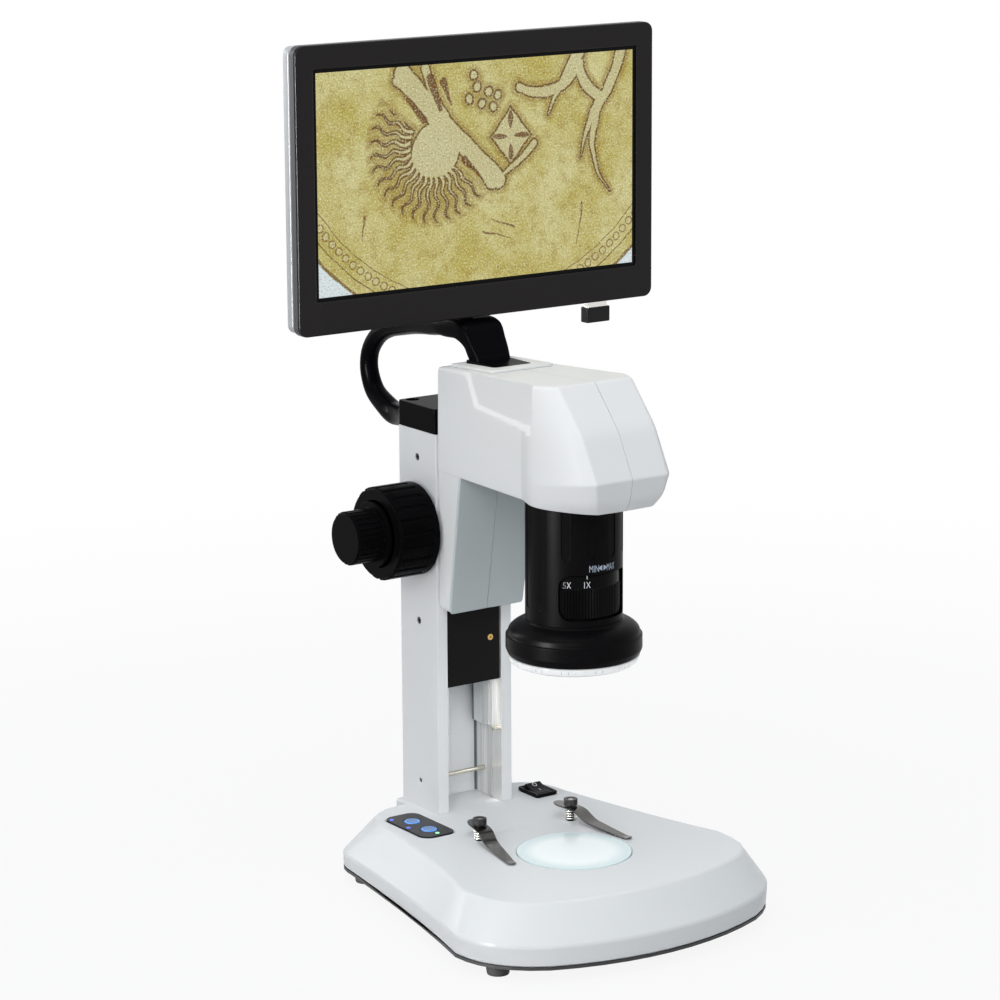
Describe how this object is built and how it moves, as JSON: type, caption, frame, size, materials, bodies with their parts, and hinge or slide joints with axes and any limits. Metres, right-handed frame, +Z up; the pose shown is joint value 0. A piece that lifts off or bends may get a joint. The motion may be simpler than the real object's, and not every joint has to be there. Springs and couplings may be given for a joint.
{
  "type": "digital microscope",
  "caption": "Bench microscope with a tilting flat display above a focusing camera head on a slotted column, over a lit stage with spring clips.",
  "frame": {"origin": "Centre of the box around the whole object at rest, on the surface that its feet stand on.", "axes": "X runs to the right as seen from the front, Y from the front of the base to the carrying handle, Z up along the column."},
  "size_m": [0.2236, 0.2842, 0.4574],
  "materials": {
    "white_shell": "gloss with a very fine moulded texture",
    "head_plastic": "satin",
    "column_paint": "satin powder coat",
    "bare_aluminium": "fine machined",
    "black_satin_metal": "satin anodised black",
    "black_plastic": "satin moulded",
    "bezel_plastic": "dark brown-black, semi-gloss",
    "cover_plastic": "light grey satin",
    "black_rubber": "matte",
    "steel": "bright",
    "dark_steel": "dark polished",
    "plate_steel": "black coated",
    "brass": "bright",
    "board": "green lacquer with black parts",
    "white_board": "white lacquer",
    "lamp_lens": "clear-topped white",
    "stage_glass": "frosted and lit from below",
    "clear_diffuser": "clear, lit",
    "lens_glass": "polished and coated",
    "button_blue": "translucent, lit",
    "panel_dark": "gloss",
    "display_picture": "lit screen"
  },
  "bodies": {
    "base": {"base_plate": "plate_steel", "rubber_feet": "black_rubber", "foot_screws": "steel", "base_shell": "white_shell", "stage_glass": "stage_glass", "lamp_board": "white_board", "lamp_leds": "lamp_lens", "control_board": "board", "touch_panel": "panel_dark", "indicator_leds": "button_blue", "button_board": "board", "power_inlet": "black_plastic", "switch_housing": "black_plastic", "column": "column_paint", "column_screws": "steel", "gib_screws": "dark_steel", "guide_rails": "bare_aluminium", "stop_rods": "steel", "shaft_bushes": "brass", "column_cap": "black_plastic", "cap_screws": "dark_steel", "handle": "black_plastic", "cable_conduit": "black_plastic", "tilt_bracket": "black_satin_metal", "tilt_pin": "steel", "clip_posts": "steel", "clip_nuts": "black_plastic", "clip_springs": "steel"},
    "clip_left": {"clip_left": "dark_steel"},
    "clip_right": {"clip_right": "dark_steel"},
    "button_up": {"button_up": "button_blue"},
    "button_down": {"button_down": "button_blue"},
    "rocker": {"switch_rocker": "black_plastic"},
    "coarse": {"pinion_shaft": "steel", "coarse_knob_left": "black_plastic", "coarse_knob_right": "black_plastic"},
    "fine": {"fine_shaft": "steel", "fine_knob_left": "black_plastic", "fine_knob_right": "black_plastic"},
    "head": {"slider": "black_satin_metal", "rack": "dark_steel", "slider_screw": "brass", "head_frame": "bare_aluminium", "head_left_shell": "head_plastic", "head_right_shell": "head_plastic", "head_collar": "head_plastic", "camera_tube": "black_satin_metal", "lens_bell": "black_satin_metal", "lens_barrel": "black_satin_metal", "lenses": "lens_glass", "sensor_board": "board", "led_ring_board": "white_board", "led_ring": "clear_diffuser"},
    "zoom": {"zoom_ring": "black_plastic"},
    "display": {"screen_bezel": "bezel_plastic", "lcd_panel": "display_picture", "screen_back": "cover_plastic", "screen_board": "board", "screen_hinge": "black_plastic"},
    "usb": {"usb_stick": "black_plastic"}
  },
  "joints": [
    {"name": "focus_slide", "type": "slide", "parent": "base", "child": "head", "axis": [0, 0, 1], "range_m": [-0.0267, 0]},
    {"name": "coarse_turn", "type": "hinge", "parent": "base", "child": "coarse", "pos_m": [0, 0.0529, 0.1935], "axis": [1, 0, 0], "range_deg": [0, 254.99]},
    {"name": "fine_turn", "type": "hinge", "parent": "base", "child": "fine", "pos_m": [0, 0.0529, 0.1935], "axis": [1, 0, 0], "range_deg": [0, 1274.93]},
    {"name": "zoom_turn", "type": "hinge", "parent": "head", "child": "zoom", "pos_m": [0, -0.057, 0.177], "axis": [0, 0, 1], "range_deg": [-335, 0]},
    {"name": "display_tilt", "type": "hinge", "parent": "base", "child": "display", "pos_m": [0, 0.052, 0.322], "axis": [-1, 0, 0], "range_deg": [0, 25]},
    {"name": "memory_slide", "type": "slide", "parent": "display", "child": "usb", "axis": [0, 0, -1], "range_m": [0, 0.012]},
    {"name": "rocker_turn", "type": "hinge", "parent": "base", "child": "rocker", "pos_m": [0.0434, 0.0379, 0.0356], "axis": [1, 0, 0], "range_deg": [-24, 0]},
    {"name": "button_up_press", "type": "slide", "parent": "base", "child": "button_up", "axis": [0, 0, -1], "range_m": [0, 0.001], "stiffness_N_per_m": 1500, "springref_m": -0.0004},
    {"name": "button_down_press", "type": "slide", "parent": "base", "child": "button_down", "axis": [0, 0, -1], "range_m": [0, 0.001], "stiffness_N_per_m": 1500, "springref_m": -0.0004},
    {"name": "clip_left_turn", "type": "hinge", "parent": "base", "child": "clip_left", "pos_m": [-0.0296, -0.0126, 0.045], "axis": [0, 0, 1], "range_deg": [-60, 20]},
    {"name": "clip_right_turn", "type": "hinge", "parent": "base", "child": "clip_right", "pos_m": [0.0296, -0.0126, 0.045], "axis": [0, 0, 1], "range_deg": [-20, 60]}
  ],
  "couplings": [
    {"joint": "coarse_turn", "follows": "focus_slide", "rad_per_m": -166.67},
    {"joint": "fine_turn", "follows": "focus_slide", "rad_per_m": -833.33}
  ]
}
